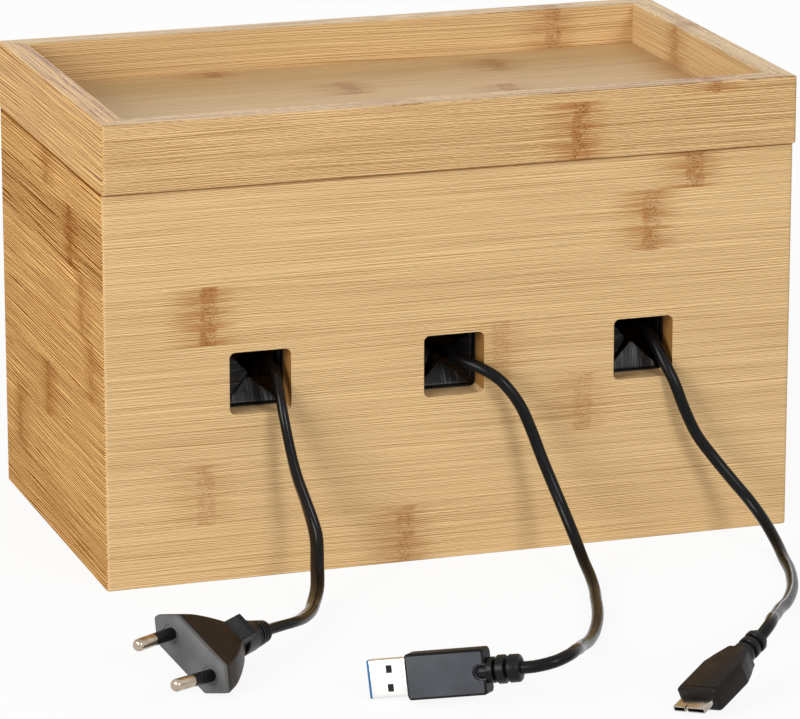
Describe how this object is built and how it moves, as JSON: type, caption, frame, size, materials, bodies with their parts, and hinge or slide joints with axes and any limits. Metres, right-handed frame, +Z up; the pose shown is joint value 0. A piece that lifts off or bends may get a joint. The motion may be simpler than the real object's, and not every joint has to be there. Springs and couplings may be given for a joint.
{
  "type": "cable management box",
  "caption": "Free-standing bamboo box for a power strip and spare cable, with cable outlets closed by slit rubber inserts and a lift-off desk tray as its lid.",
  "frame": {"origin": "middle of the box footprint, on the desk", "axes": "+X along the box towards its right end seen from the outlets, +Y from the outlets to the back, +Z up"},
  "size_m": [0.2606, 0.318, 0.157],
  "materials": {
    "bamboo": "light bamboo, straight fine grain along each board, satin lacquer",
    "insert_rubber": "matt black rubber sheet with fine creases",
    "cord_sheath": "semi-gloss black cord sheath",
    "moulded_black": "moulded black plastic, finely textured",
    "moulded_grey": "dark blue-grey moulded plastic, finely textured",
    "nickel": "bright nickel plating",
    "shell_steel": "stamped nickel-plated steel sheet",
    "tongue_blue": "blue plastic",
    "contact_gold": "gold-plated contact strips"
  },
  "bodies": {
    "box": {"front_board": "bamboo", "back_board": "bamboo", "left_board": "bamboo", "right_board": "bamboo", "bottom_board": "bamboo", "left_outlet_frame": "insert_rubber", "middle_outlet_frame": "insert_rubber", "right_outlet_frame": "insert_rubber", "mains_plug_face": "moulded_grey", "mains_plug_body": "moulded_black", "mains_plug_grip": "moulded_black", "mains_plug_relief": "moulded_black", "mains_pins": "nickel", "mains_pin_sleeves": "moulded_black", "mains_lead": "cord_sheath", "mains_lead_coil": "cord_sheath", "mains_lead_tail": "cord_sheath", "mains_lead_tie": "moulded_grey", "appliance_connector": "moulded_black", "usb_a_shell": "shell_steel", "usb_a_tongue": "tongue_blue", "usb_a_contacts": "contact_gold", "usb_a_cover": "moulded_grey", "usb_a_relief": "moulded_black", "usb_cord_to_a": "cord_sheath", "usb_cord_coil": "cord_sheath", "usb_cord_tie": "moulded_grey", "usb_cord_to_micro": "cord_sheath", "micro_shell": "shell_steel", "micro_cover": "moulded_black", "micro_relief": "moulded_black"},
    "tray": {"tray_front_rail": "bamboo", "tray_back_rail": "bamboo", "tray_left_rail": "bamboo", "tray_right_rail": "bamboo", "tray_floor": "bamboo", "tray_long_battens": "bamboo", "tray_short_battens": "bamboo"},
    "left_outlet_flap_bottom": {"left_outlet_flap_bottom": "insert_rubber"},
    "left_outlet_flap_right": {"left_outlet_flap_right": "insert_rubber"},
    "left_outlet_flap_top": {"left_outlet_flap_top": "insert_rubber"},
    "left_outlet_flap_left": {"left_outlet_flap_left": "insert_rubber"},
    "middle_outlet_flap_bottom": {"middle_outlet_flap_bottom": "insert_rubber"},
    "middle_outlet_flap_right": {"middle_outlet_flap_right": "insert_rubber"},
    "middle_outlet_flap_top": {"middle_outlet_flap_top": "insert_rubber"},
    "middle_outlet_flap_left": {"middle_outlet_flap_left": "insert_rubber"},
    "right_outlet_flap_bottom": {"right_outlet_flap_bottom": "insert_rubber"},
    "right_outlet_flap_right": {"right_outlet_flap_right": "insert_rubber"},
    "right_outlet_flap_top": {"right_outlet_flap_top": "insert_rubber"},
    "right_outlet_flap_left": {"right_outlet_flap_left": "insert_rubber"}
  },
  "joints": [
    {"name": "tray_lift", "type": "slide", "parent": "box", "child": "tray", "axis": [0, 0, 1], "range_m": [0, 0.06]},
    {"name": "left_outlet_flap_bottom_bend", "type": "hinge", "parent": "box", "child": "left_outlet_flap_bottom", "pos_m": [-0.067, -0.0571, 0.05715], "axis": [-1, 0, 0], "range_deg": [-35, 65], "stiffness_Nm_per_rad": 0.0002},
    {"name": "left_outlet_flap_right_bend", "type": "hinge", "parent": "box", "child": "left_outlet_flap_right", "pos_m": [-0.05715, -0.0571, 0.067], "axis": [0, 0, -1], "range_deg": [0, 15], "stiffness_Nm_per_rad": 0.0002},
    {"name": "left_outlet_flap_top_bend", "type": "hinge", "parent": "box", "child": "left_outlet_flap_top", "pos_m": [-0.067, -0.0571, 0.07685], "axis": [1, 0, 0], "range_deg": [0, 15], "stiffness_Nm_per_rad": 0.0002},
    {"name": "left_outlet_flap_left_bend", "type": "hinge", "parent": "box", "child": "left_outlet_flap_left", "pos_m": [-0.07685, -0.0571, 0.067], "axis": [0, 0, 1], "range_deg": [-12, 88], "stiffness_Nm_per_rad": 0.0002},
    {"name": "middle_outlet_flap_bottom_bend", "type": "hinge", "parent": "box", "child": "middle_outlet_flap_bottom", "pos_m": [0, -0.0571, 0.05715], "axis": [-1, 0, 0], "range_deg": [0, 60], "stiffness_Nm_per_rad": 0.0002},
    {"name": "middle_outlet_flap_right_bend", "type": "hinge", "parent": "box", "child": "middle_outlet_flap_right", "pos_m": [0.00985, -0.0571, 0.067], "axis": [0, 0, -1], "range_deg": [0, 45], "stiffness_Nm_per_rad": 0.0002},
    {"name": "middle_outlet_flap_top_bend", "type": "hinge", "parent": "box", "child": "middle_outlet_flap_top", "pos_m": [0, -0.0571, 0.07685], "axis": [1, 0, 0], "range_deg": [0, 45], "stiffness_Nm_per_rad": 0.0002},
    {"name": "middle_outlet_flap_left_bend", "type": "hinge", "parent": "box", "child": "middle_outlet_flap_left", "pos_m": [-0.00985, -0.0571, 0.067], "axis": [0, 0, 1], "range_deg": [0, 55], "stiffness_Nm_per_rad": 0.0002},
    {"name": "right_outlet_flap_bottom_bend", "type": "hinge", "parent": "box", "child": "right_outlet_flap_bottom", "pos_m": [0.067, -0.0571, 0.05715], "axis": [-1, 0, 0], "range_deg": [-12, 88], "stiffness_Nm_per_rad": 0.0002},
    {"name": "right_outlet_flap_right_bend", "type": "hinge", "parent": "box", "child": "right_outlet_flap_right", "pos_m": [0.07685, -0.0571, 0.067], "axis": [0, 0, -1], "range_deg": [0, 16], "stiffness_Nm_per_rad": 0.0002},
    {"name": "right_outlet_flap_top_bend", "type": "hinge", "parent": "box", "child": "right_outlet_flap_top", "pos_m": [0.067, -0.0571, 0.07685], "axis": [1, 0, 0], "range_deg": [0, 25], "stiffness_Nm_per_rad": 0.0002},
    {"name": "right_outlet_flap_left_bend", "type": "hinge", "parent": "box", "child": "right_outlet_flap_left", "pos_m": [0.05715, -0.0571, 0.067], "axis": [0, 0, 1], "range_deg": [-25, 75], "stiffness_Nm_per_rad": 0.0002}
  ]
}
